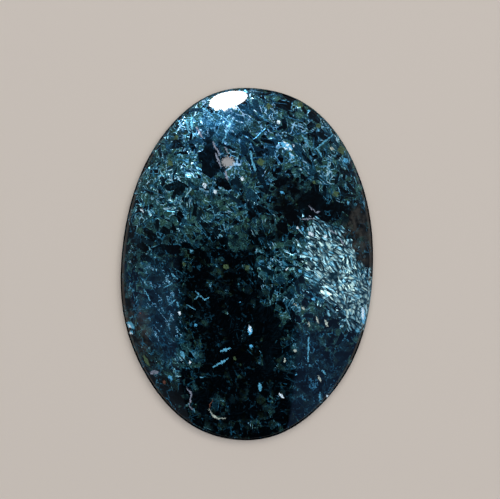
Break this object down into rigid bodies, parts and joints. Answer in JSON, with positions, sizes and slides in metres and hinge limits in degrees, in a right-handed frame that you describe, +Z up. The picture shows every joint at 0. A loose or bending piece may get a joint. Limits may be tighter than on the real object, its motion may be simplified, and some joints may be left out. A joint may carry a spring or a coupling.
{
  "type": "muscovite specimen cabochon",
  "caption": "Large oval cabochon of dark mica rock, low polished dome with a bevelled flat back that it rests on or is set by.",
  "frame": {"origin": "middle of the flat back, on the surface that the stone lies on", "axes": "+Z up out of the domed face, +Y along the oval's long axis towards its narrower end, +X across it"},
  "size_m": [0.0428, 0.06, 0.0068],
  "materials": {
    "mica_rock": "near-black blue-green rock of interlocking mica blades, dome polished to a wet gloss, girdle ground satin, back lapped matt"
  },
  "bodies": {
    "root": {"cabochon": "mica_rock"}
  },
  "joints": []
}
